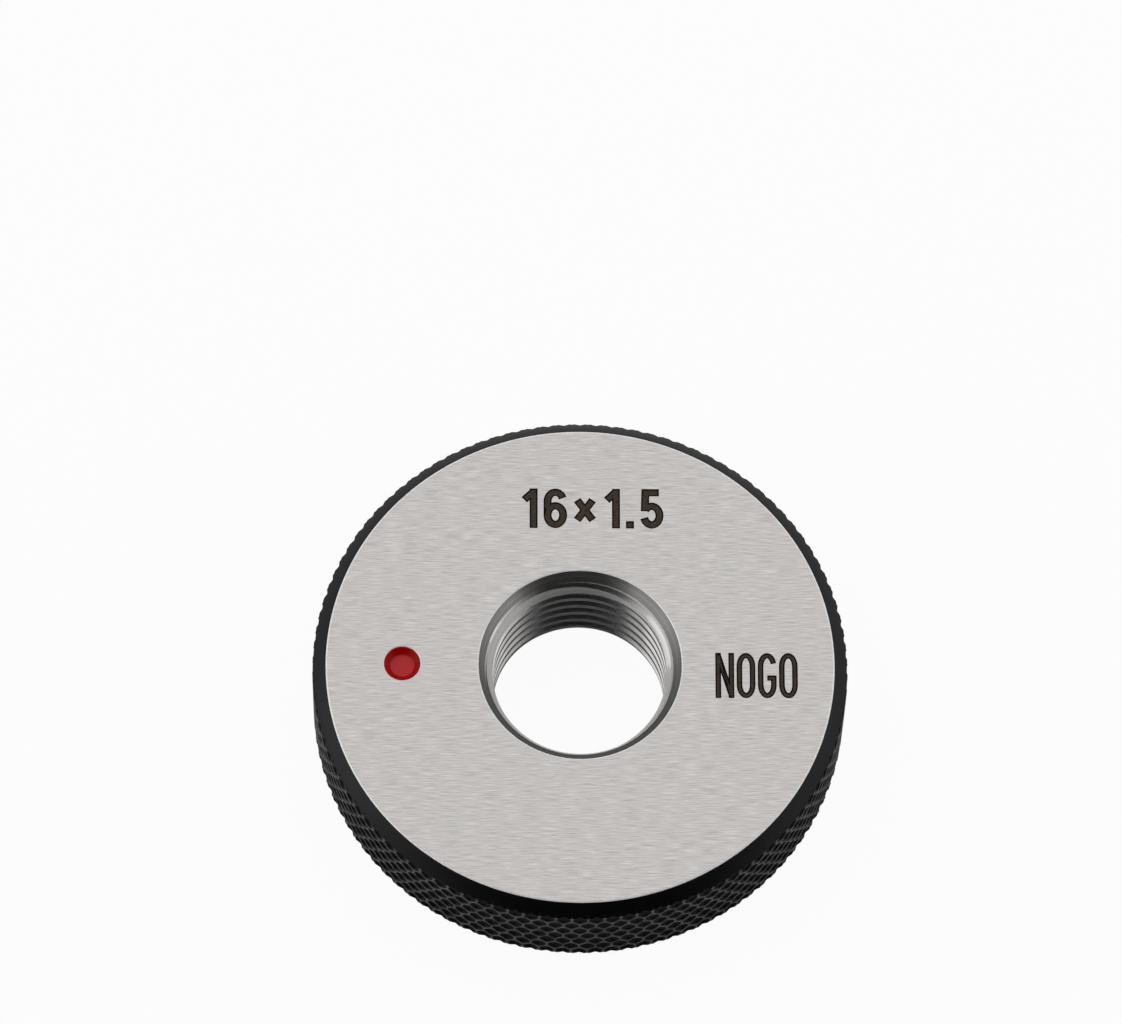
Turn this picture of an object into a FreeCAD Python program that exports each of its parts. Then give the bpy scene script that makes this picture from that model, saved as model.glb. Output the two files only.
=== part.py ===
import FreeCAD, Part
import math
import os

# Not-go thread ring gauge for a 16 mm fine screw thread, in millimetres.
# The ring lies flat on its back face, z = 0. Its axis is +Z and its marked face looks up.

# Ring body
outer_diameter = 45.0  # over the ridges of the knurl
thickness = 10.0
bevel_width = 1.2  # smooth rim bevel, measured along the radius
bevel_depth = 1.0  # and along the axis
edge_break = 0.06  # fine chamfer where the ground face meets the bevel

# Diamond knurl on the rim: ridges that cross and leave four-sided pits
knurl_count = 104  # ridges round the rim, each way
knurl_angle = 30.0  # degrees between a ridge and the axis
knurl_depth = 0.35

# Not-go thread, right hand, for a screw of this diameter and pitch
thread_diameter = 16.0
thread_pitch = 1.5
thread_flank_angle = 60.0  # degrees, between the two flanks
pitch_allowance = 0.172  # the gauge's pitch diameter is this far under the basic one
crest_height = 0.15  # flank left inside the pitch line, which makes the bore
root_width = 0.06  # flat at the bottom of the groove, clear of the screw's crests
thread_lift = 1.075  # height of the groove's centre at +X, which says where the thread starts
crest_overlap = 0.1  # the cutter of the groove reaches this far inside the crests

# Mouth of the bore on the marked face: a wide countersink, then a steeper lead into the thread
mouth_margin = 0.58  # the countersink starts this far outside the screw's radius
mouth_depth = 0.85
lead_margin = 0.15  # the lead starts this far inside it
lead_depth = 1.05

# Chamfer of the bore on the back face
back_mouth_margin = 0.25
back_mouth_depth = 0.5

# Countersunk dimple in the marked face, midway between mouth and rim, with red enamel in it
dimple_diameter = 3.1
dimple_floor_diameter = 2.0
dimple_depth = 0.65
enamel_thickness = 0.08
enamel_drop = 0.03  # the film ends this far under the ground face

# Cutting tools reach this far past the metal that they cut
overcut = 1.0

# Radii that follow from the sizes above
rim_radius = outer_diameter / 2
face_radius = rim_radius - bevel_width
mouth_radius = thread_diameter / 2 + mouth_margin
flank_slope = math.tan(math.radians(thread_flank_angle / 2))
sharp_thread_height = thread_pitch / 2 / flank_slope
pitch_radius = thread_diameter / 2 - sharp_thread_height * 3 / 8 - pitch_allowance / 2
bore_radius = pitch_radius - crest_height


def turned(outline, x=0.0):
    """Turn an outline of (radius, height) points once round the vertical line at x."""
    points = [FreeCAD.Vector(radius, 0, height) for radius, height in outline]
    face = Part.Face(Part.makePolygon(points + points[:1]))
    solid = face.revolve(FreeCAD.Vector(0, 0, 0), FreeCAD.Vector(0, 0, 1), 360)
    solid.translate(FreeCAD.Vector(x, 0, 0))
    return solid


def rim_corner(number, radius, height):
    """One of the places, two to a ridge, where the knurl's lines run round the rim."""
    angle = math.pi / knurl_count * number
    return FreeCAD.Vector(radius * math.cos(angle), radius * math.sin(angle), height)


def closed_bar(side_faces, end_rings):
    """A solid bar from the flat faces of its side and the corners of its two ends."""
    ends = [Part.Face(Part.makePolygon(ring + ring[:1])) for ring in end_rings]
    shell = Part.Shell(side_faces + ends)
    shell.sewShape()
    return Part.Solid(shell)


def bevelled_bar():
    """
    The ring's outer form: edge breaks and bevels, with stock left on the rim for the knurl.
    Every bevel has two narrow flats to a ridge, so that its border with the knurl is straight lines.
    """
    slope = bevel_depth / bevel_width
    break_drop = edge_break * slope
    stock_drop = (bevel_width + overcut) * slope
    stations = [
        (face_radius - edge_break, 0),
        (face_radius + edge_break, break_drop),
        (rim_radius + overcut, stock_drop),
        (rim_radius + overcut, thickness - stock_drop),
        (face_radius + edge_break, thickness - break_drop),
        (face_radius - edge_break, thickness),
    ]
    corners = 2 * knurl_count
    rings = [[rim_corner(number, radius, height) for number in range(corners)] for radius, height in stations]
    flats = []
    for lower, upper in zip(rings, rings[1:]):
        for number in range(corners):
            after = (number + 1) % corners
            outline = [lower[number], lower[after], upper[after], upper[number], lower[number]]
            flats.append(Part.Face(Part.makePolygon(outline)))
    return closed_bar(flats, [rings[0], rings[-1]])


def knurled_bar():
    """A bar with the knurl all round it, longer than the ring is thick."""
    row_height = rim_radius * math.pi / knurl_count / math.tan(math.radians(knurl_angle))
    rows = 2 * math.ceil((thickness / 2 + overcut) / row_height)
    columns = 2 * knurl_count
    points = []
    for row in range(rows + 1):
        height = thickness / 2 + (row - rows / 2) * row_height
        for column in range(columns):
            # Ridges cross where column plus row is even, and a pit is deepest where it is odd
            depth = knurl_depth * ((column + row) % 2)
            points.append(rim_corner(column, rim_radius - depth, height))

    triangles = []
    for row in range(rows):
        for column in range(columns):
            after = (column + 1) % columns
            a = row * columns + column
            b = row * columns + after
            c = b + columns
            d = a + columns
            if (column + row) % 2 == 0:
                triangles += [(a, b, c), (a, c, d)]
            else:
                triangles += [(a, b, d), (b, c, d)]
    side = Part.Shape()
    side.makeShapeFromMesh((points, triangles), 0.001)
    return closed_bar(side.Faces, [points[:columns], points[-columns:]])


def bore():
    """The cutter of the bore, with the chamfer at the back and the two cones of the mouth."""
    back_mouth_radius = thread_diameter / 2 + back_mouth_margin
    lead_radius = thread_diameter / 2 - lead_margin
    return turned([
        (0, -overcut),
        (back_mouth_radius, -overcut),
        (back_mouth_radius, 0),
        (bore_radius, back_mouth_depth),
        (bore_radius, thickness - mouth_depth - lead_depth),
        (lead_radius, thickness - mouth_depth),
        (mouth_radius, thickness),
        (mouth_radius, thickness + overcut),
        (0, thickness + overcut),
    ])


def thread_turns():
    """The helical groove of the thread, turn by turn: two flanks and a narrow flat root."""
    inner_radius = bore_radius - crest_overlap
    inner_half_width = thread_pitch / 4 + (pitch_radius - inner_radius) * flank_slope
    root_radius = pitch_radius + (thread_pitch / 4 - root_width / 2) / flank_slope
    outline = [
        (inner_radius, -inner_half_width),
        (root_radius, -root_width / 2),
        (root_radius, root_width / 2),
        (inner_radius, inner_half_width),
    ]
    points = [FreeCAD.Vector(radius, 0, height) for radius, height in outline]
    profile = Part.makePolygon(points + points[:1])
    helix = Part.makeHelix(thread_pitch, thread_pitch, pitch_radius)
    turn = Part.Wire(helix).makePipeShell([profile], True, True)
    turns = []
    for number in range(-1, math.ceil(thickness / thread_pitch) + 1):
        turns.append(turn.translated(FreeCAD.Vector(0, 0, thread_lift + number * thread_pitch)))
    return turns


def dimple_cone(top, wall=0.0):
    """The space in the dimple up to the height top, inside a film of the thickness wall."""
    run = (dimple_diameter - dimple_floor_diameter) / 2
    lean = math.atan2(run, dimple_depth)
    floor = thickness - dimple_depth + wall
    floor_radius = dimple_floor_diameter / 2 + wall * math.tan(lean) - wall / math.cos(lean)
    top_radius = floor_radius + (top - floor) * math.tan(lean)
    return turned([(0, floor), (floor_radius, floor), (top_radius, top), (0, top)],
                  x=-(mouth_radius + face_radius) / 2)


def gauge_ring():
    """The ring: bevelled, knurled, bored, threaded and dimpled from one piece of steel."""
    ring = bevelled_bar().common(knurled_bar()).cut(bore())
    for turn in thread_turns():
        ring = ring.cut(turn)
    return ring.cut(dimple_cone(thickness + overcut))


def red_mark():
    """The film of enamel on the dimple's floor and wall."""
    film = dimple_cone(thickness - enamel_drop)
    return film.cut(dimple_cone(thickness + overcut, enamel_thickness))


os.makedirs("parts", exist_ok=True)
for node, build in {"gauge_ring": gauge_ring, "red_mark": red_mark}.items():
    shape = build()
    solid = shape.Solids[0]
    print(node, "solids", len(shape.Solids), "valid", solid.isValid(), "volume", round(solid.Volume, 2))
    solid.exportStep("parts/" + node + ".step")
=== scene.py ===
# %% [markdown]
# # A not-go thread ring gauge
# The object is one steel ring. Its two faces are ground, its rim is knurled and blackened, and its bore
# holds a short fine thread with a countersunk mouth. A dimple filled with red enamel says that it is the
# member that must not go on the screw.
#
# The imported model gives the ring's size and place. It has every main form, with as few facets as the
# physics can use. This lesson models the same ring again at full detail, finishes its surfaces, and
# lights it as a studio would.

# %% Load the frame
import bpy
import math
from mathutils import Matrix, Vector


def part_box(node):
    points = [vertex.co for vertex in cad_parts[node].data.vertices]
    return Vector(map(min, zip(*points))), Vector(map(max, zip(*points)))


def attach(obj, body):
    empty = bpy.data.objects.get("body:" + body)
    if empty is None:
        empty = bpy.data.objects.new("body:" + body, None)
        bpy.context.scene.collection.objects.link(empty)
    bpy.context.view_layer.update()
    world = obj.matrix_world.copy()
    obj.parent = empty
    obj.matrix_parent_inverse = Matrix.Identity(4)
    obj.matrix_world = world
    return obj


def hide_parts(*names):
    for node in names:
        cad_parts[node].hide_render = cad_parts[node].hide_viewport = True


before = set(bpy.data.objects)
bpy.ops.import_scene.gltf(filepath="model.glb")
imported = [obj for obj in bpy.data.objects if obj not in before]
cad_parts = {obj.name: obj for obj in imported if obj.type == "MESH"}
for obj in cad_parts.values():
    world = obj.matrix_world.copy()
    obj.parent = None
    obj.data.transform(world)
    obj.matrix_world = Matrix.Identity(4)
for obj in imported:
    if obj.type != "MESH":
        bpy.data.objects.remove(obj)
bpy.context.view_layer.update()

ring_low, ring_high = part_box("gauge_ring")

# %% [markdown]
# ## Working in millimetres
# The frame is in metres, but a thread of 1.5 mm is awkward to model there: the merge distances and the
# solver of the Boolean modifier are happier with numbers near one. So every shape is modelled in
# millimetres, and the finished mesh is scaled down at the end, with its scale applied.

# %% Driving sizes, in millimetres
millimetre = 0.001
merge_distance = 0.0001
hair = 0.001  # places that differ by less than this count as the same
level = 0.9999  # a face whose normal points up or down by at least this much counts as level

thickness = (ring_high.z - ring_low.z) / millimetre
rim_radius = (ring_high.x - ring_low.x) / 2 / millimetre
bevel_width = 1.2
bevel_depth = 1.0
edge_break = 0.06

knurl_count = 104
knurl_angle = math.radians(30)

thread_diameter = 16.0
thread_pitch = 1.5
flank_slope = math.tan(math.radians(30))
pitch_allowance = 0.172
crest_height = 0.15
root_width = 0.06

mouth_margin = 0.58
mouth_depth = 0.85
lead_margin = 0.15
lead_depth = 1.05
back_mouth_margin = 0.25
back_mouth_depth = 0.5

dimple_radius = 1.55
dimple_floor_radius = 1.0
dimple_depth = 0.65
enamel_thickness = 0.08
enamel_drop = 0.03

face_radius = rim_radius - bevel_width
mouth_radius = thread_diameter / 2 + mouth_margin
lead_radius = thread_diameter / 2 - lead_margin
back_mouth_radius = thread_diameter / 2 + back_mouth_margin
pitch_radius = thread_diameter / 2 - thread_pitch / 2 / flank_slope * 3 / 8 - pitch_allowance / 2
bore_radius = pitch_radius - crest_height
dimple_x = -(mouth_radius + face_radius) / 2
print("ring", round(2 * rim_radius, 3), "x", round(thickness, 3), "mm, bore", round(2 * bore_radius, 3))

# %% [markdown]
# ## Small helpers
# An operator works on everything that is selected, and the frame leaves its own nodes selected. So each
# step starts from an empty selection, and picks faces or corners in code, by where they are. The picks
# are made in object mode, where the mesh data can be read, and used in edit mode.

# %% Selecting and switching modes
def only(piece):
    """Make a piece the one selected, active object."""
    bpy.ops.object.select_all(action="DESELECT")
    piece.select_set(True)
    bpy.context.view_layer.objects.active = piece


def edit_mode(kind):
    bpy.ops.object.mode_set(mode="EDIT")
    bpy.ops.mesh.select_mode(type=kind)


def object_mode():
    bpy.ops.object.mode_set(mode="OBJECT")


def select_corners(piece, test):
    """Select the corners whose place passes a test, and go on in edit mode with their edges."""
    edit_mode("VERT")
    bpy.ops.mesh.select_all(action="DESELECT")
    object_mode()
    for vertex in piece.data.vertices:
        vertex.select = bool(test(vertex.co))
    edit_mode("VERT")
    bpy.ops.mesh.select_mode(type="EDGE")


# %% Applying modifiers, tidying and reporting
def apply_modifiers(piece):
    only(piece)
    for modifier in list(piece.modifiers):
        bpy.ops.object.modifier_apply(modifier=modifier.name)


def tidy_normals():
    """In edit mode: merge what lies double, and turn every face outwards."""
    bpy.ops.mesh.select_all(action="SELECT")
    bpy.ops.mesh.remove_doubles(threshold=merge_distance)
    bpy.ops.mesh.normals_make_consistent(inside=False)


def report(piece):
    """Print how many faces a piece has, and whether any edge is open."""
    only(piece)
    edit_mode("EDGE")
    bpy.ops.mesh.select_all(action="DESELECT")
    bpy.ops.mesh.select_non_manifold(extend=False)
    object_mode()
    open_edges = sum(edge.select for edge in piece.data.edges)
    print(piece.name, len(piece.data.polygons), "faces,", open_edges, "open edges")


# %% [markdown]
# ## The turned blank
# A ring like this starts on a lathe. A circle stands for the tip of the tool: its edge loop is extruded
# from station to station round the section, and scaled at each station to the radius there. The last
# step comes back to the first station, and merging the doubles closes the skin. The rim keeps some
# stock, because the knurl is cut from it later. A fine chamfer is left at the mouth and where the
# ground face meets the bevel: a real edge is never quite sharp, and its thin bright line shows that.

# %% Turn the blank
turned_segments = 256
rim_stock = 1.0
fine_chamfer = 0.05


def turn(name, stations, segments, cup=False):
    """Extrude a circle along (radius, height) stations: a closed ring, or a cup with two floors."""
    bpy.ops.object.select_all(action="DESELECT")
    radius, height = stations[0]
    fill = "NGON" if cup else "NOTHING"
    place = (0, 0, height)
    bpy.ops.mesh.primitive_circle_add(vertices=segments, radius=radius, fill_type=fill, location=place)
    piece = bpy.context.object
    piece.name = name
    bpy.ops.object.transform_apply(location=True)
    edit_mode("EDGE")
    bpy.ops.mesh.select_all(action="SELECT")
    for next_radius, next_height in stations[1:] + ([] if cup else stations[:1]):
        bpy.ops.mesh.extrude_edges_move(TRANSFORM_OT_translate={"value": (0, 0, next_height - height)})
        growth = next_radius / radius
        bpy.ops.transform.resize(value=(growth, growth, 1), center_override=(0, 0, 0))
        radius, height = next_radius, next_height
    if cup:
        bpy.ops.mesh.edge_face_add()
    tidy_normals()
    object_mode()
    return piece


bevel_slope = bevel_depth / bevel_width
stock_radius = rim_radius + rim_stock
stock_drop = (bevel_width + rim_stock) * bevel_slope
break_drop = edge_break * bevel_slope
ring = turn("ring_body", [
    (bore_radius, back_mouth_depth),
    (back_mouth_radius, 0),
    (face_radius - edge_break, 0),
    (face_radius + edge_break, break_drop),
    (stock_radius, stock_drop),
    (stock_radius, thickness - stock_drop),
    (face_radius + edge_break, thickness - break_drop),
    (face_radius - edge_break, thickness),
    (mouth_radius + fine_chamfer, thickness),
    (mouth_radius - fine_chamfer, thickness - fine_chamfer),
    (lead_radius, thickness - mouth_depth),
    (bore_radius, thickness - mouth_depth - lead_depth),
], turned_segments)
report(ring)

# %% [markdown]
# ## The thread
# A thread is a groove along a helix. The groove's section is drawn once, as a small closed outline, and
# the Screw modifier carries it round the bore while it climbs one pitch a turn. That leaves a long tube
# with two open ends, and each is closed by hand with one face. The tube starts below the ring and ends
# above it, so the groove runs out through both countersinks, as a cutter would leave it.

# %% Sweep the groove
thread_steps = 128
thread_turns = math.ceil(thickness / thread_pitch) + 2
thread_lift = 1.075  # height of a groove's centre at +X, which sets where the thread starts
crest_overlap = 0.3

inner_radius = bore_radius - crest_overlap
inner_half_width = thread_pitch / 4 + (pitch_radius - inner_radius) * flank_slope
root_radius = pitch_radius + (thread_pitch / 4 - root_width / 2) / flank_slope
first_groove = thread_lift - 2 * thread_pitch


def sweep_groove():
    bpy.ops.object.select_all(action="DESELECT")
    bpy.ops.mesh.primitive_plane_add(size=1, rotation=(math.pi / 2, 0, 0))
    groove = bpy.context.object
    groove.name = "thread_groove"
    bpy.ops.object.transform_apply(rotation=True)
    for vertex in groove.data.vertices:
        at_root = vertex.co.x > 0
        half_width = root_width / 2 if at_root else inner_half_width
        side = 1 if vertex.co.z > 0 else -1
        vertex.co = (root_radius if at_root else inner_radius, 0, first_groove + side * half_width)
    edit_mode("FACE")
    bpy.ops.mesh.select_all(action="SELECT")
    bpy.ops.mesh.delete(type="ONLY_FACE")
    object_mode()
    climb = groove.modifiers.new("Climb", "SCREW")
    climb.axis = "Z"
    climb.screw_offset = thread_pitch
    climb.iterations = thread_turns
    climb.steps = climb.render_steps = thread_steps
    climb.use_merge_vertices = False
    climb.use_smooth_shade = False
    apply_modifiers(groove)
    near = thread_pitch / 2
    for end in (first_groove, first_groove + thread_turns * thread_pitch):
        select_corners(groove, lambda co: abs(co.y) < hair and co.x > 0 and abs(co.z - end) < near)
        bpy.ops.mesh.edge_face_add()
    tidy_normals()
    object_mode()
    return groove


groove = sweep_groove()
report(groove)

# %% [markdown]
# ## The knurl
# The rim is gripped between two toothed rollers, one left and one right hand, and what is left standing
# is a net of crossing ridges round small pits. In the photo the diamonds are rounded off, and a ridge
# runs a little along the axis where two of them cross. A pit is repeated about a thousand times, so it
# has to be light. One cell is made flat, as a circle of six corners. Its face is inset and sunk in steps,
# smaller and rounder each time, and the last face is poked to a point. Two arrays lay the cells out as a
# strip, and a Bend modifier rolls the strip into a ring.

# %% Press one pit of the knurl
half_ridge = math.pi / knurl_count * rim_radius
half_row = half_ridge / math.tan(knurl_angle)
cell_waist = 0.5  # length of the cell's two upright sides, which would be 0 in a sharp diamond
cell_tip = half_row - cell_waist / 2  # height of its top corner over its middle
pit_steps = [(0.03, 0.87, 0.5), (0.20, 0.80, 0.5), (0.10, 0.6, 0.5)]  # depth, share of size, roundness


def press_pit():
    bpy.ops.object.select_all(action="DESELECT")
    bpy.ops.mesh.primitive_circle_add(vertices=6, radius=1, rotation=(math.pi / 2, 0, 0))
    pit = bpy.context.object
    pit.name = "knurl_bar"
    bpy.ops.object.transform_apply(rotation=True)
    for corner in pit.data.vertices:
        at_tip = abs(corner.co.x) < hair
        across = 0 if at_tip else math.copysign(half_ridge, corner.co.x)
        height = cell_tip if at_tip else cell_waist / 2
        corner.co = (across, 0, math.copysign(height, corner.co.z))
    edit_mode("EDGE")
    bpy.ops.mesh.select_all(action="SELECT")
    bpy.ops.mesh.subdivide(number_cuts=1)
    bpy.ops.mesh.edge_face_add()
    bpy.ops.mesh.select_mode(type="FACE")
    bpy.ops.mesh.select_all(action="SELECT")
    for depth, share, roundness in pit_steps:
        bpy.ops.mesh.inset(thickness=0)
        bpy.ops.transform.translate(value=(0, depth, 0))
        bpy.ops.transform.resize(value=(share, 1, share), center_override=(0, 0, 0))
        bpy.ops.transform.tosphere(value=roundness)
    bpy.ops.mesh.poke()
    bpy.ops.mesh.select_all(action="SELECT")
    bpy.ops.mesh.duplicate_move(TRANSFORM_OT_translate={"value": (half_ridge, 0, half_row)})
    object_mode()
    return pit


knurl_bar = press_pit()
pit_depth = sum(depth for depth, share, roundness in pit_steps)
print("pit", round(2 * half_ridge, 3), "x", round(2 * cell_tip, 3), "mm, and", round(pit_depth, 3), "deep")

# %% Roll the strip of pits into a bar
row_pairs = 5
middle_row = 5  # this row of pits lies halfway up the ring
row_merge_distance = 0.001


def array(piece, name, offset, count):
    copies = piece.modifiers.new(name, "ARRAY")
    copies.use_relative_offset = False
    copies.use_constant_offset = True
    copies.constant_offset_displace = offset
    copies.count = count
    copies.use_merge_vertices = True
    copies.merge_threshold = row_merge_distance


def roll_bar(strip):
    array(strip, "Round the rim", (2 * half_ridge, 0, 0), knurl_count)
    array(strip, "Along the axis", (0, 0, 2 * half_row), row_pairs)
    apply_modifiers(strip)
    strip.location = (-knurl_count * half_ridge, 0, thickness / 2 - middle_row * half_row)
    bpy.ops.object.transform_apply(location=True)
    # The strip is half a pit longer than the rim, so its two ends mesh and are merged
    strip_length = (2 * knurl_count + 1) * half_ridge
    bend = strip.modifiers.new("Bend", "SIMPLE_DEFORM")
    bend.deform_method = "BEND"
    bend.deform_axis = "Z"
    bend.angle = strip_length / rim_radius
    apply_modifiers(strip)
    strip.location = (0, -rim_radius, 0)
    bpy.ops.object.transform_apply(location=True)
    edit_mode("VERT")
    bpy.ops.mesh.select_all(action="SELECT")
    bpy.ops.mesh.remove_doubles(threshold=2 * row_merge_distance)
    object_mode()


roll_bar(knurl_bar)
# Both ends of the bar are still open here
report(knurl_bar)

# %% Close the two ends of the bar
end_length = 4.0  # the bar ends this far beyond the ring's two faces


def close_end(bar, side):
    """Draw the bar's open end out to a flat face. The side is 1 at the top and -1 at the bottom."""
    middle = thickness / 2
    edit_mode("VERT")
    bpy.ops.mesh.select_all(action="DESELECT")
    bpy.ops.mesh.select_non_manifold(extend=False)
    object_mode()
    open_corners = [vertex for vertex in bar.data.vertices if vertex.select]
    rim = {vertex.index for vertex in open_corners if (vertex.co.z - middle) * side > 0}
    edit_mode("VERT")
    bpy.ops.mesh.select_all(action="DESELECT")
    object_mode()
    for vertex in bar.data.vertices:
        vertex.select = vertex.index in rim
    edit_mode("VERT")
    bpy.ops.mesh.select_mode(type="EDGE")
    bpy.ops.mesh.extrude_edges_move(TRANSFORM_OT_translate={"value": (0, 0, side * end_length)})
    bpy.ops.transform.resize(value=(1, 1, 0), center_override=(0, 0, middle + side * (middle + end_length)))
    bpy.ops.mesh.edge_face_add()
    object_mode()


for side in (1, -1):
    close_end(knurl_bar, side)
edit_mode("FACE")
tidy_normals()
object_mode()
report(knurl_bar)

# %% [markdown]
# ## The dimple and the markings
# The red dot is a shallow countersunk dimple, and the markings are etched a few hundredths of a
# millimetre into the ground face. Both are cut with tools. The dimple's tool is turned as the blank was,
# as a closed cup, with a fine chamfer at the ground face.

# %% Turn the tool of the dimple
dimple_segments = 72
dimple_chamfer = 0.06
dimple_run = dimple_radius - dimple_floor_radius
tool_rise = 0.5  # the tools stand this far out of the ground face

dimple_tool = turn("dimple_tool", [
    (dimple_floor_radius, thickness - dimple_depth),
    (dimple_radius - dimple_chamfer, thickness - dimple_chamfer * dimple_depth / dimple_run),
    (dimple_radius + dimple_chamfer, thickness),
    (dimple_radius + dimple_chamfer, thickness + tool_rise),
], dimple_segments, cup=True)
dimple_tool.location = (dimple_x, 0, 0)
bpy.ops.object.transform_apply(location=True)
report(dimple_tool)

# %% [markdown]
# ## Drawing the marks
# The size is a plain number, as on a dial, and the word says how the gauge answers. The characters are
# narrow and bold. No font that comes with Blender looks like that, so each is drawn as it would be
# engraved, with a nib of one width: as strokes along a path of straights and arcs.

# %% The path of each stroke
arc_step = 15


def arc(centre, radii, start, end):
    """Points along an upright ellipse, from one angle to another, in degrees."""
    steps = round(abs(end - start) / arc_step)
    points = []
    for step in range(steps + 1):
        angle = math.radians(start + (end - start) * step / steps)
        points.append((centre[0] + radii[0] * math.cos(angle), centre[1] + radii[1] * math.sin(angle)))
    return points


def strokes_of(character, span, rise, nib):
    """The strokes of a character, whose centre lines fill a box that is span wide and rise high."""
    half = span / 2
    foot, head = -nib / 2, rise + nib / 2
    # The diagonal of N reaches past the uprights' centre lines, and stops a little inside its height
    past_side, inside_end = 0.03, 0.12
    # The lower bend of O and G stands on the foot line, so its radii are also its centre's place
    bend = (half, 0.27 * rise)
    upper_bend = (half, 0.73 * rise)
    # So it is with the bowl of 5 and 6
    bowl = (half, 0.58 * rise / 2)
    shapes = {
        "N": [
            [(0, foot), (0, head)],
            [(span, foot), (span, head)],
            [(-past_side, head - inside_end), (span + past_side, foot + inside_end)],
        ],
        "O": [
            arc(upper_bend, bend, 0, 180) + arc(bend, bend, 180, 360) + [(span, 0.73 * rise)],
        ],
        "G": [
            arc(upper_bend, bend, 15, 180) + arc(bend, bend, 180, 360)
            + [(span, 0.44 * rise), (0.5 * span, 0.44 * rise)],
        ],
        "1": [
            [(0.6 * span, foot), (0.6 * span, head)],
            [(0, 0.76 * rise), (0.55 * span, rise)],
        ],
        "5": [
            [(0.97 * span, rise), (0.1 * span, rise), (0.06 * span, 0.42 * rise)],
            arc(bowl, bowl, 145, -165),
        ],
        "6": [
            arc(bowl, bowl, 0, 360),
            [(0, bowl[1])] + arc((half, 0.72 * rise), (half, 0.28 * rise), 180, 20),
        ],
        "×": [
            [(0, 0.14 * rise), (span, 0.76 * rise)],
            [(0, 0.76 * rise), (span, 0.14 * rise)],
        ],
        ".": [
            [(0, foot), (0, -foot)],
        ],
    }
    return shapes[character]


print("strokes of 6:", [len(path) for path in strokes_of("6", 1.3, 2.9, 0.7)], "points")

# %% [markdown]
# ## From a path to a tool
# A stroke needs the same width everywhere and true corners. A plane merged to a single point is drawn
# along the path, the line is drawn up to a wall, and Solidify gives the wall the width of the nib.
# Strokes that cross can't be in one tool, or the tool would cut itself. So all the first strokes of the
# words make one tool, and the second and third ones make two more.

# %% Draw one stroke
border_depth = 0.03  # how deep a mark is etched along its outline


def draw_stroke(path, width):
    bpy.ops.object.select_all(action="DESELECT")
    bpy.ops.mesh.primitive_plane_add(size=1, location=(0, 0, 0))
    line = bpy.context.object
    edit_mode("VERT")
    bpy.ops.mesh.merge(type="CENTER")
    x, y = path[0]
    bpy.ops.transform.translate(value=(x, y, thickness - border_depth))
    for next_x, next_y in path[1:]:
        bpy.ops.mesh.extrude_vertices_move(TRANSFORM_OT_translate={"value": (next_x - x, next_y - y, 0)})
        x, y = next_x, next_y
    bpy.ops.mesh.select_all(action="SELECT")
    bpy.ops.mesh.remove_doubles(threshold=merge_distance)
    bpy.ops.mesh.select_all(action="SELECT")
    bpy.ops.mesh.select_mode(type="EDGE")
    bpy.ops.mesh.extrude_edges_move(TRANSFORM_OT_translate={"value": (0, 0, border_depth + tool_rise)})
    tidy_normals()
    object_mode()
    wall = line.modifiers.new("Nib", "SOLIDIFY")
    wall.thickness = width
    wall.offset = 0
    wall.use_even_offset = True
    apply_modifiers(line)
    edit_mode("FACE")
    tidy_normals()
    object_mode()
    return line


# %% Set the words
size_nib = 0.68
answer_nib = 0.48
glyph_widths = {"1": 0.6, ".": 0.0}  # as shares of the span; every other character fills it


def lay_out(words, centre, span, cap_height, nib, gap):
    """The words round a centre, as three lists of paths: the first, second and third strokes."""
    rise = cap_height - nib
    widths = [glyph_widths.get(character, 1.0) * span + nib for character in words]
    length = sum(widths) + gap * (len(words) - 1)
    left = centre[0] - length / 2 + nib / 2
    passes = [[], [], []]
    for character, width in zip(words, widths):
        for stroke_number, path in enumerate(strokes_of(character, span, rise, nib)):
            placed = [(left + x, centre[1] - rise / 2 + y) for x, y in path]
            passes[stroke_number].append(placed)
        left += width + gap
    return passes


size_passes = lay_out("16×1.5", centre=(1.0, 14.25), span=1.32, cap_height=3.65, nib=size_nib, gap=0.5)
answer_passes = lay_out("NOGO", centre=(14.8, -0.95), span=1.10, cap_height=4.1, nib=answer_nib, gap=0.2)


def mark_tools():
    """One tool for all first strokes of the words, one for the second and one for the third."""
    tools = []
    for number, (size_paths, answer_paths) in enumerate(zip(size_passes, answer_passes)):
        strokes = [draw_stroke(path, size_nib) for path in size_paths]
        strokes += [draw_stroke(path, answer_nib) for path in answer_paths]
        bpy.ops.object.select_all(action="DESELECT")
        for piece in strokes:
            piece.select_set(True)
        bpy.context.view_layer.objects.active = strokes[0]
        if len(strokes) > 1:
            bpy.ops.object.join()
        strokes[0].name = f"mark_tool_{number}"
        tools.append(strokes[0])
    return tools


marks = mark_tools()
for tool in marks:
    report(tool)

# %% [markdown]
# ## Cutting
# Now the tools are used, in the order of the shop: thread, knurl, dimple, marks. The Boolean modifier
# with the exact solver keeps the mesh closed, and the knurl is the one step that intersects, because the
# bar gives what may stay.

# %% Cut the ring
def cut(piece, tool, operation):
    only(piece)
    boolean = piece.modifiers.new("Cut", "BOOLEAN")
    boolean.operation = operation
    boolean.solver = "EXACT"
    boolean.object = tool
    apply_modifiers(piece)
    bpy.data.objects.remove(tool)
    report(piece)


cut(ring, groove, "DIFFERENCE")
cut(ring, knurl_bar, "INTERSECT")
cut(ring, dimple_tool, "DIFFERENCE")
for tool in marks:
    cut(ring, tool, "DIFFERENCE")

# %% [markdown]
# ## The border of the marks
# An etched mark is nearly black along its outline and brown inside it. The floors of the marks are
# selected by their height, inset, and sunk a little deeper. That leaves a narrow sloping border round
# every mark, which can have a finish of its own. A second cut with narrower tools would do it too, but it
# left about a hundred open edges, and this way leaves none.

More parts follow.
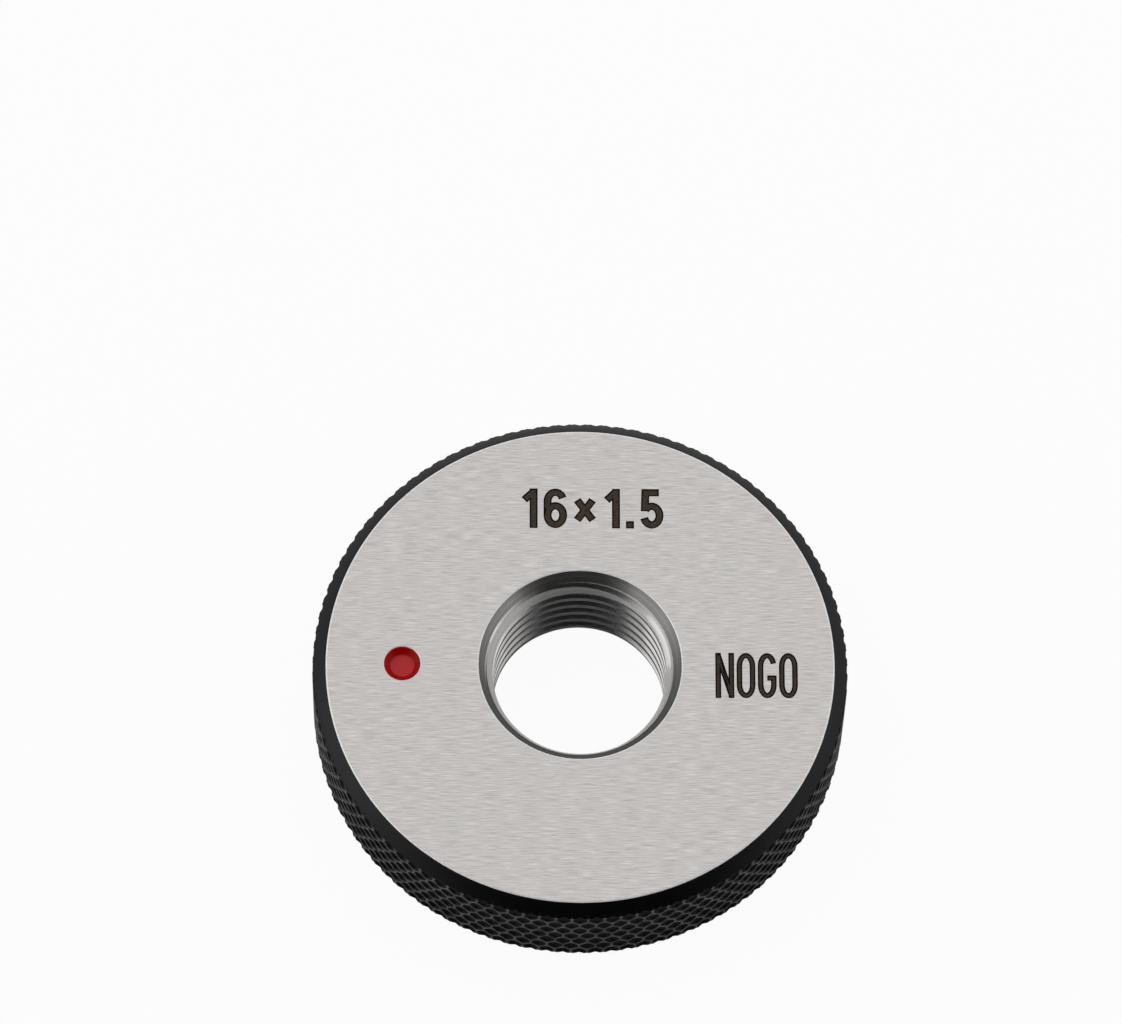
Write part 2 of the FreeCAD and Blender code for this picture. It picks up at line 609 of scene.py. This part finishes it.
# %% Sink the floors of the marks
etch_border = 0.13
etch_depth = 0.05  # how deep a mark is etched inside its border


def sink_floors(piece):
    only(piece)
    edit_mode("FACE")
    bpy.ops.mesh.select_all(action="DESELECT")
    object_mode()
    for face in piece.data.polygons:
        on_floor = abs(face.center.z - thickness + border_depth) < hair
        face.select = on_floor and face.normal.z > level
    edit_mode("FACE")
    bpy.ops.mesh.inset(thickness=etch_border, depth=border_depth - etch_depth)
    object_mode()
    report(piece)


sink_floors(ring)

# %% [markdown]
# ## Shading by angle
# Turned cones and rolled pits have soft forms between crisp edges. Every edge under a limit is shaded
# smooth, and every sharper one stays an edge. The pits of the knurl want a wide limit, but the cones of
# the mouth meet at only twelve degrees, so their edges are marked sharp first. The ground faces stay
# flat shaded, or the light would bend over them from corner to corner.

# %% Shade the ring
smooth_angle = math.radians(35)
cone_edge_angle = math.radians(8)


def shade_ring(piece):
    only(piece)
    edit_mode("EDGE")
    bpy.ops.mesh.select_all(action="DESELECT")
    bpy.ops.mesh.edges_select_sharp(sharpness=cone_edge_angle)
    object_mode()
    corners = piece.data.vertices
    for edge in piece.data.edges:
        outer = max(corners[number].co.xy.length for number in edge.vertices)
        edge.select = edge.select and outer < mouth_radius + fine_chamfer * 2
    edit_mode("EDGE")
    bpy.ops.mesh.mark_sharp()
    object_mode()
    bpy.ops.object.shade_smooth_by_angle(angle=smooth_angle, keep_sharp_edges=True)
    for face in piece.data.polygons:
        face.use_smooth = abs(face.normal.z) < level


shade_ring(ring)

# %% [markdown]
# ## The enamel
# The enamel is a thin film, brushed into the dimple and wiped off the face. It is turned like a little
# cup: up the outside, over the lip, and down the inside, where it pools round the corner of the floor.

# %% Turn the film of enamel
enamel_clearance = 0.004
enamel_lip = thickness - enamel_drop
enamel_floor = thickness - dimple_depth + enamel_thickness
lip_width = 0.05
lip_fall = 0.005
lip_depth = 0.06
pool_height = 0.10
pool_steps = [(0.03, 0.13), (0.004, 0.21), (0.0, 0.30)]  # height over the floor, distance from the wall


def dimple_radius_at(height):
    return dimple_floor_radius + (height - thickness + dimple_depth) * dimple_run / dimple_depth


enamel_stations = [
    (dimple_floor_radius - enamel_clearance, thickness - dimple_depth + enamel_clearance),
    (dimple_radius_at(enamel_lip) - enamel_clearance, enamel_lip),
    (dimple_radius_at(enamel_lip) - lip_width, enamel_lip - lip_fall),
    (dimple_radius_at(enamel_lip - lip_depth) - enamel_thickness, enamel_lip - lip_depth),
    (dimple_radius_at(enamel_floor + pool_height) - pool_height, enamel_floor + pool_height),
]
for height, distance in pool_steps:
    enamel_stations.append((dimple_radius_at(enamel_floor) - distance, enamel_floor + height))
enamel = turn("red_enamel", enamel_stations, dimple_segments, cup=True)
enamel.location = (dimple_x, 0, 0)
bpy.ops.object.transform_apply(location=True)
bpy.ops.object.shade_smooth_by_angle(angle=smooth_angle)
report(enamel)

# %% [markdown]
# ## Back to metres
# Both pieces are done, so they are scaled down and the scale is applied. Then their mesh data is in the
# frame's own metres, and the grain of a finish, which reads that data, has its real size.

# %% Bring both pieces to metres
for piece in (ring, enamel):
    only(piece)
    piece.scale = (millimetre, millimetre, millimetre)
    bpy.ops.object.transform_apply(scale=True)
    print(piece.name, "is", [round(size, 6) for size in piece.dimensions], "m")

# %% [markdown]
# ## Finishes
# The ring is one metal with several finishes: ground faces, turned cones, a blackened rim, etched marks
# and painted enamel. Pictures could be wrapped round it, but they would blur close up and show seams. So
# each finish is noise, stretched along the path of the tool that made the surface. It reads Object
# coordinates, in metres, so its grain has a real size. A few helpers start a material and wire its nodes.

# %% Start a material
def start_material(name):
    material = bpy.data.materials.new(name)
    material.use_nodes = True
    tree = material.node_tree
    shader = tree.nodes["Principled BSDF"]
    return material, tree, shader


def add(tree, kind, **values):
    """Add a node and set its properties and inputs by name."""
    node = tree.nodes.new(kind)
    for name, value in values.items():
        if name in node.inputs:
            node.inputs[name].default_value = value
        else:
            setattr(node, name, value)
    return node


def surface(shader, roughness, specular=0.5, metallic=0):
    shader.inputs["Roughness"].default_value = roughness
    shader.inputs["Specular IOR Level"].default_value = specular
    shader.inputs["Metallic"].default_value = metallic


# %% Noise, colour and relief
fine_relief = 0.00001  # metres
rough_relief = 0.00002


def grain(tree, coordinates, scale, detail):
    """Noise whose size along each axis is given in grains per metre."""
    stretch = add(tree, "ShaderNodeMapping", Scale=scale)
    noise = add(tree, "ShaderNodeTexNoise", Scale=1.0, Detail=detail, Roughness=0.6)
    tree.links.new(coordinates, stretch.inputs["Vector"])
    tree.links.new(stretch.outputs["Vector"], noise.inputs["Vector"])
    return noise.outputs["Fac"]


def between(tree, factor, low, high, start=0.3, end=0.7):
    """A number or a colour that runs from low to high as a factor runs from start to end."""
    ramp = add(tree, "ShaderNodeValToRGB")
    ramp.color_ramp.elements[0].position = start
    ramp.color_ramp.elements[1].position = end
    ramp.color_ramp.elements[0].color = (*low, 1) if isinstance(low, tuple) else (low, low, low, 1)
    ramp.color_ramp.elements[1].color = (*high, 1) if isinstance(high, tuple) else (high, high, high, 1)
    tree.links.new(factor, ramp.inputs["Fac"])
    return ramp.outputs["Color"]


def bump(tree, shader, height, distance, strength):
    relief = add(tree, "ShaderNodeBump", Strength=strength, Distance=distance)
    tree.links.new(height, relief.inputs["Height"])
    tree.links.new(relief.outputs["Normal"], shader.inputs["Normal"])


# %% Places on the ring
def object_coordinates(tree):
    return add(tree, "ShaderNodeTexCoord").outputs["Object"]


def object_place(tree):
    """A point of the surface, taken apart into X, Y and Z."""
    place = add(tree, "ShaderNodeSeparateXYZ")
    tree.links.new(object_coordinates(tree), place.inputs["Vector"])
    return place


def axis_distance(tree, place):
    """How far a place is from the ring's axis."""
    flat = add(tree, "ShaderNodeCombineXYZ")
    tree.links.new(place.outputs["X"], flat.inputs["X"])
    tree.links.new(place.outputs["Y"], flat.inputs["Y"])
    radius = add(tree, "ShaderNodeVectorMath", operation="LENGTH")
    tree.links.new(flat.outputs["Vector"], radius.inputs[0])
    return radius.outputs["Value"]


# %% [markdown]
# ## Ground and turned steel
# A grinding wheel draws straight, parallel streaks over the whole face, here from left to right. The
# mouth and the thread are turned, so their lines run round the axis: their noise is read from the radius
# and the height alone. Such lines spread a highlight across themselves. Modelling them would cost a lot,
# so the shine is made anisotropic instead, with its tangent round the axis.

# %% Ground steel: the two faces
def ground_steel():
    material, tree, shader = start_material("ground_steel")
    streaks = grain(tree, object_coordinates(tree), (600, 12500, 600), detail=6)
    colour = between(tree, streaks, (0.405, 0.391, 0.383), (0.71, 0.686, 0.672))
    tree.links.new(colour, shader.inputs["Base Color"])
    surface(shader, roughness=0.42, metallic=1)
    bump(tree, shader, streaks, fine_relief, 0.35)
    return material


# %% Turned steel: the two cones of the mouth, and the thread
steel_tint = (1, 0.985, 0.97)
across_the_marks = 0.25  # a quarter turn, so that highlights spread across the tool marks


def turned_steel(name, dark, light, roughness, anisotropy):
    material, tree, shader = start_material(name)
    place = object_place(tree)
    radius_and_height = add(tree, "ShaderNodeCombineXYZ")
    tree.links.new(axis_distance(tree, place), radius_and_height.inputs["X"])
    tree.links.new(place.outputs["Z"], radius_and_height.inputs["Y"])
    lines = grain(tree, radius_and_height.outputs["Vector"], (3200, 3200, 1), detail=4)
    dark_steel, light_steel = [tuple(shade * part for part in steel_tint) for shade in (dark, light)]
    colour = between(tree, lines, dark_steel, light_steel)
    tree.links.new(colour, shader.inputs["Base Color"])
    surface(shader, roughness, metallic=1)
    shader.inputs["Anisotropic"].default_value = anisotropy
    shader.inputs["Anisotropic Rotation"].default_value = across_the_marks
    around = add(tree, "ShaderNodeTangent", direction_type="RADIAL", axis="Z")
    tree.links.new(around.outputs["Tangent"], shader.inputs["Tangent"])
    bump(tree, shader, lines, fine_relief, 0.4)
    return material


# %% [markdown]
# ## Bare edges with a painted highlight
# The fine chamfers are bare steel, and their pale colour is also a painted highlight. A plain mirror would
# turn black wherever it meets the dark card, so the finish is only partly metal and stays bright all round.

# %% Bare edges with a painted highlight: the fine chamfers
def bare_edge_and_highlight():
    material, tree, shader = start_material("bare_edge_and_highlight")
    nicks = grain(tree, object_coordinates(tree), (3000, 3000, 3000), detail=2)
    # The pale colour is partly bare steel and partly a painted highlight, so the thin line stays bright.
    colour = between(tree, nicks, (0.72, 0.72, 0.71), (0.95, 0.95, 0.94))
    tree.links.new(colour, shader.inputs["Base Color"])
    surface(shader, roughness=0.5, metallic=0.4)
    return material


# %% [markdown]
# ## Black oxide
# Black oxide is a thin skin that grows on the steel in a hot bath. It is nearly black and satin on the
# smooth bevels. On the knurl the ridges are grey and the pits black. The grey is partly wear by hands and
# partly a painted highlight on the ridge tops. It starts a tenth of a millimetre under the rim's radius
# and grows outwards, and noise breaks it up into patches.

# %% Black oxide: the bevels and the knurl
fresh_black = (0.002, 0.002, 0.0022)
wear_and_sheen_depth = 0.10


def black_oxide(name, worn_and_sheen, specular, roughness):
    material, tree, shader = start_material(name)
    # The grey on the ridge tops is partly wear and partly a painted highlight; the black pits are the
    # oxide.
    wear_and_sheen = add(tree, "ShaderNodeMapRange")
    wear_and_sheen.inputs["From Min"].default_value = (rim_radius - wear_and_sheen_depth) * millimetre
    wear_and_sheen.inputs["From Max"].default_value = rim_radius * millimetre
    tree.links.new(axis_distance(tree, object_place(tree)), wear_and_sheen.inputs["Value"])
    patches = grain(tree, object_coordinates(tree), (1200, 1200, 1200), detail=4)
    rubbed_and_sheen = add(tree, "ShaderNodeMath", operation="MULTIPLY")
    tree.links.new(wear_and_sheen.outputs["Result"], rubbed_and_sheen.inputs[0])
    tree.links.new(between(tree, patches, 0.2, 1.3), rubbed_and_sheen.inputs[1])
    colour = between(tree, rubbed_and_sheen.outputs["Value"], fresh_black, worn_and_sheen, 0.0, 1.0)
    tree.links.new(colour, shader.inputs["Base Color"])
    specks = grain(tree, object_coordinates(tree), (9000, 9000, 9000), detail=3)
    surface(shader, roughness, specular)
    bump(tree, shader, specks, fine_relief, 0.25)
    return material


# %% [markdown]
# ## Marks and enamel
# Acid leaves the marks rough and dull, with hardly any shine. Their border is nearly black and their
# floor is brown. The enamel is the only paint. Its red is darker up the wall and lighter on the floor,
# following the height: painted shade on the wall and painted light on the floor.

# %% Etched marks: the border and the floor
def etched_steel(name, dark, light):
    material, tree, shader = start_material(name)
    specks = grain(tree, object_coordinates(tree), (7000, 7000, 7000), detail=4)
    colour = between(tree, specks, dark, light)
    tree.links.new(colour, shader.inputs["Base Color"])
    surface(shader, roughness=0.75, specular=0.05)
    bump(tree, shader, specks, rough_relief, 0.5)
    return material


# %% Red enamel
# The two reds are one enamel: painted light on the floor and painted shade up the wall.
painted_light_floor_red = (0.585, 0.042, 0.046)
painted_shade_wall_red = (0.38, 0.002, 0.002)
painted_shade_rise = 0.12


def red_enamel():
    material, tree, shader = start_material("red_enamel")
    climb = add(tree, "ShaderNodeMapRange")
    climb.inputs["From Min"].default_value = enamel_floor * millimetre
    climb.inputs["From Max"].default_value = (enamel_floor + painted_shade_rise) * millimetre
    tree.links.new(object_place(tree).outputs["Z"], climb.inputs["Value"])
    colour = between(tree, climb.outputs["Result"], painted_light_floor_red, painted_shade_wall_red, 0.0, 1.0)
    tree.links.new(colour, shader.inputs["Base Color"])
    cloud = grain(tree, object_coordinates(tree), (2500, 2500, 2500), detail=3)
    surface(shader, roughness=0.3, specular=0.1)
    bump(tree, shader, cloud, rough_relief, 0.3)
    return material


# %% [markdown]
# ## Giving each surface its finish
# The ring is one piece of steel, so its finishes share one mesh. Each face gets its finish by where it
# lies: outside the ground face it is blackened, inside the mouth it is turned, with painted light and shade
# in its colour, under the face it is etched, and on the fine chamfers it is bare, with a painted highlight.
# What is left is ground.

# %% Make the finishes of the ring
finishes = [
    ground_steel(),
    # The mouth, the lead and the thread are one turned steel. Their colours differ by painted light and
    # shade: the mouth and the thread are darkened as painted shade, and the lead is lightened as a painted
    # highlight.
    turned_steel("mouth_steel_painted_shade", dark=0.20, light=0.36, roughness=0.28, anisotropy=0.85),
    turned_steel("lead_steel_painted_light", dark=0.80, light=0.95, roughness=0.40, anisotropy=0.85),
    turned_steel("thread_steel_painted_shade", dark=0.30, light=0.46, roughness=0.19, anisotropy=0.3),
    black_oxide("black_bevel", worn_and_sheen=(0.002, 0.002, 0.002), specular=0.2, roughness=0.3),
    black_oxide("black_knurl", worn_and_sheen=(0.17, 0.17, 0.174), specular=0.12, roughness=0.5),
    etched_steel("etched_border", dark=(0.004, 0.003, 0.0025), light=(0.012, 0.009, 0.007)),
    etched_steel("etched_floor", dark=(0.038, 0.028, 0.021), light=(0.100, 0.075, 0.058)),
    bare_edge_and_highlight(),
]
for finish in finishes:
    ring.data.materials.append(finish)
GROUND, MOUTH, LEAD, THREAD, BEVEL, KNURL, ETCHED_BORDER, ETCHED_FLOOR, EDGE = range(len(finishes))
print(len(finishes), "finishes")

# %% Give each face its finish
bevel_band = 0.01  # a face's centre may lie this far off the bevel
lead_band = 0.02  # and this far off the lead into the thread
groove_margin = 0.05  # no groove of the thread reaches this far outside the screw's radius


def finish_of(face):
    place = face.center / millimetre
    radius = math.hypot(place.x, place.y)
    on_face_edge = abs(radius - face_radius) < edge_break
    on_mouth_edge = abs(radius - mouth_radius) < fine_chamfer and place.z > thickness / 2
    if (on_face_edge or on_mouth_edge) and abs(face.normal.z) < level:
        return EDGE
    if radius > face_radius:
        drop = (radius - face_radius) * bevel_slope
        on_bevel = abs(min(place.z, thickness - place.z) - drop) < bevel_band
        return BEVEL if on_bevel else KNURL
    if radius < mouth_radius + fine_chamfer and hair < place.z < thickness - hair:
        lead_start = thickness - mouth_depth - lead_depth
        lead_there = bore_radius + (place.z - lead_start) * (lead_radius - bore_radius) / lead_depth
        if place.z > thickness - mouth_depth or radius > thread_diameter / 2 + groove_margin:
            return MOUTH
        return LEAD if place.z > lead_start and abs(radius - lead_there) < lead_band else THREAD
    from_dimple = math.hypot(place.x - dimple_x, place.y)
    in_dimple = from_dimple < dimple_radius + 2 * dimple_chamfer
    if abs(from_dimple - dimple_radius) < dimple_chamfer and abs(face.normal.z) < level:
        return EDGE
    if thickness / 2 < place.z < thickness - hair and not in_dimple:
        return ETCHED_FLOOR if place.z < thickness - etch_depth + hair else ETCHED_BORDER
    return GROUND


for face in ring.data.polygons:
    face.material_index = finish_of(face)
enamel.data.materials.append(red_enamel())
for number, finish in enumerate(finishes):
    print(finish.name, sum(face.material_index == number for face in ring.data.polygons), "faces")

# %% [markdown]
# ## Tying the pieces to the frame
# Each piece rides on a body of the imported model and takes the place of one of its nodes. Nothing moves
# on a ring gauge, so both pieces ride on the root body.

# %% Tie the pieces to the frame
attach(ring, "root")
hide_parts("gauge_ring")
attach(enamel, "root")
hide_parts("red_mark")
print("tied", ring.name, "and", enamel.name, "to the body root")

# %% [markdown]
# ## The studio
# The ring lies on a white table in a white room, as in a catalogue. Table and room look white to the
# camera and to shiny steel. The light that they throw on matt surfaces is set apart from that, so the
# enamel and the shadow can be matched without turning the white grey.

# %% One brightness to see, another to light with
def seen_directly(tree, elsewhere, seen):
    """One value for what the camera, metal and glass see, and another for matt surfaces."""
    path = add(tree, "ShaderNodeLightPath")
    camera_or_gloss = add(tree, "ShaderNodeMath", operation="ADD")
    any_of_three = add(tree, "ShaderNodeMath", operation="ADD")
    chosen = add(tree, "ShaderNodeMapRange")
    chosen.inputs["To Min"].default_value = elsewhere
    chosen.inputs["To Max"].default_value = seen
    tree.links.new(path.outputs["Is Camera Ray"], camera_or_gloss.inputs[0])
    tree.links.new(path.outputs["Is Glossy Ray"], camera_or_gloss.inputs[1])
    tree.links.new(camera_or_gloss.outputs["Value"], any_of_three.inputs[0])
    tree.links.new(path.outputs["Is Transmission Ray"], any_of_three.inputs[1])
    tree.links.new(any_of_three.outputs["Value"], chosen.inputs["Value"])
    return chosen.outputs["Result"]


# %% [markdown]
# ## The floor
# A floor that is only white would let the ring float, and a floor that is only a surface would come out
# grey. So what the camera sees is nearly all plain white, and the rest is a matt surface that takes the
# ring's shadow.

# %% Floor
floor_size = 6.0
floor_white_share = 0.95


def white_floor():
    material, tree, shader = start_material("white_floor")
    shader.inputs["Base Color"].default_value = (0.85, 0.85, 0.85, 1)
    surface(shader, roughness=0.9, specular=0)
    glow = add(tree, "ShaderNodeEmission", Strength=1.0)
    glow.inputs["Color"].default_value = (1, 1, 1, 1)
    share = seen_directly(tree, 0.0, floor_white_share)
    mix = add(tree, "ShaderNodeMixShader")
    tree.links.new(share, mix.inputs["Fac"])
    tree.links.new(shader.outputs["BSDF"], mix.inputs[1])
    tree.links.new(glow.outputs["Emission"], mix.inputs[2])
    tree.links.new(mix.outputs["Shader"], tree.nodes["Material Output"].inputs["Surface"])
    return material


bpy.ops.object.select_all(action="DESELECT")
bpy.ops.mesh.primitive_plane_add(size=floor_size, location=(0, 0, 0))
floor = bpy.context.object
floor.name = "floor"
floor.data.materials.append(white_floor())
print("floor", floor_size, "m wide, plain white by", floor_white_share)

# %% [markdown]
# ## Paper under the ring
# The lower side of every thread sees the table through the bore. On a real table that spot lies in the
# ring's own shade, but the floor here shines white to shiny steel. So a disc of matt paper lies on it,
# which only shiny steel sees, and it takes the shade.

# %% Grey paper
paper_radius = 0.03
paper_height = 0.0001

bpy.ops.object.select_all(action="DESELECT")
bpy.ops.mesh.primitive_circle_add(radius=paper_radius, fill_type="NGON", location=(0, 0, paper_height))
paper = bpy.context.object
paper.name = "grey_paper"
paper_material, tree, shader = start_material("grey_paper")
shader.inputs["Base Color"].default_value = (0.8, 0.8, 0.8, 1)
surface(shader, roughness=1, specular=0)
paper.data.materials.append(paper_material)
paper.visible_camera = False
paper.visible_diffuse = False
paper.visible_shadow = False
print("paper", 2 * paper_radius, "m across")

# %% [markdown]
# ## World and lamps
# Most of the light comes from the white room itself, so the shadows are soft. Two large soft lamps stand
# high to the left and to the right, and the left one is the stronger.

# %% World and lamps
world_level = 0.7

world = bpy.data.worlds.new("studio")
bpy.context.scene.world = world
world.use_nodes = True
tree = world.node_tree
background = tree.nodes["Background"]
background.inputs["Color"].default_value = (1, 1, 1, 1)
tree.links.new(seen_directly(tree, world_level, 1.0), background.inputs["Strength"])


def softbox(name, place, size, power):
    """A square soft lamp that looks at the ring."""
    bpy.ops.object.light_add(type="AREA", location=place)
    lamp = bpy.context.object
    lamp.name = name
    lamp.data.size = size
    lamp.data.energy = power
    lamp.rotation_euler = lamp.location.to_track_quat("Z", "Y").to_euler()
    print(name, power, "W")


softbox("lamp_left", (-1.0, 0.0, 0.65), 0.7, 1.45)
softbox("lamp_right", (0.9, 0.25, 0.7), 0.6, 0.6)

# %% [markdown]
# ## A black card
# Shiny steel shows what stands round it, and in an all-white room it would look like paper. So a large
# black card leans over the front of the ring, hidden from the camera. The far side of the mouth and of
# the thread shows the card, and that gives the bore its depth. The card fades to white towards its left
# and right ends, so that no hard edge shows in the thread.

# %% Black card
card_distance = 0.6
card_tilt = math.radians(34)
card_turn = math.radians(6)
card_size = (1.35, 0.72)
card_fade = 0.22  # where the fading starts, as a share of the card's width from its middle
card_black = 0.004
card_white = 0.85
card_reach = card_distance * math.cos(card_tilt)
card_place = (
    card_reach * math.sin(card_turn),
    -card_reach * math.cos(card_turn),
    card_distance * math.sin(card_tilt),
)
card_lean = (math.radians(90) - card_tilt, 0, card_turn)

bpy.ops.mesh.primitive_plane_add(size=1, location=card_place, rotation=card_lean)
card = bpy.context.object
card.name = "black_card"
card.scale = (*card_size, 1)
card_material, tree, shader = start_material("black_card")
side_share = add(tree, "ShaderNodeMath", operation="ABSOLUTE")
tree.links.new(object_place(tree).outputs["X"], side_share.inputs[0])
card_colour = between(tree, side_share.outputs["Value"], card_black, card_white, card_fade, 0.5)
tree.links.new(card_colour, shader.inputs["Base Color"])
surface(shader, roughness=1, specular=0)
card.data.materials.append(card_material)
card.visible_camera = False
card.visible_shadow = False
print("card", card_size, "m, black to", card_fade, "of its width")

# %% [markdown]
# ## The camera
# The photo was taken from the front and high up, with a long lens. The camera's place was fitted to the
# circles of the rim, the ground face and the mouth.

# %% Camera
camera_place = (-0.009979, -0.254921, 0.629662)
camera_lean = (math.radians(23.4512), math.radians(-0.7735), 0)
camera_lens = 256.154
sensor_width = 36
view_length = 20  # metres, far enough for the whole floor

bpy.ops.object.camera_add(location=camera_place, rotation=camera_lean)
camera = bpy.context.object
camera.data.lens = camera_lens
camera.data.sensor_width = sensor_width
camera.data.clip_end = view_length
bpy.context.scene.camera = camera
bpy.context.scene.view_settings.view_transform = "Standard"
print("camera", round(camera.location.length, 3), "m from the origin, lens", camera_lens, "mm")
